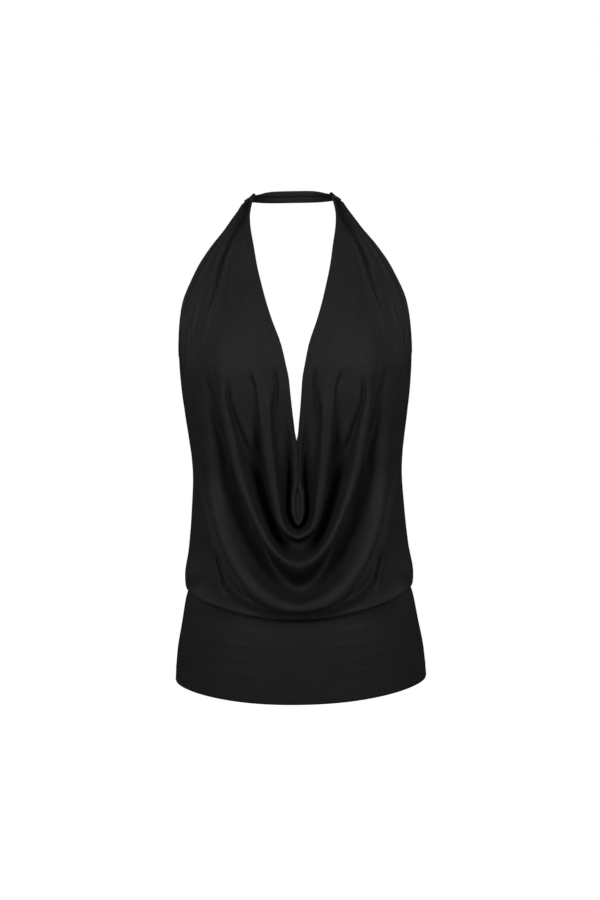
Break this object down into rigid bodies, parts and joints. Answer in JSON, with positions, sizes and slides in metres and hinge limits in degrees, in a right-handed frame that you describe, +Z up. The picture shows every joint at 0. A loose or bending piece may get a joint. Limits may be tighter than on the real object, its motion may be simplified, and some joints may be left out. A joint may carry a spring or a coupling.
{
  "type": "halter neck top",
  "caption": "Black jersey halter top, in its worn shape: draped cowl front with a deep V neckline, low back and wide flared hip band.",
  "frame": {"origin": "the inner face of the neck strap at the nape, where the wearer's neck holds the top", "axes": "+Z up, the front of the top faces -Y, +X to the right of someone facing its front"},
  "size_m": [0.3352, 0.282, 0.663],
  "materials": {
    "jersey_drape": "smooth slinky black jersey with a soft sheen",
    "jersey_back": "smooth slinky black jersey with a soft sheen",
    "jersey_band": "smooth black jersey, a little flatter where it is held taut",
    "jersey_strap": "smooth black jersey, folded double"
  },
  "bodies": {
    "root": {"front_drape": "jersey_drape", "back_panel": "jersey_back", "hip_band_front": "jersey_band", "hip_band_back": "jersey_band", "neck_strap": "jersey_strap"}
  },
  "joints": []
}
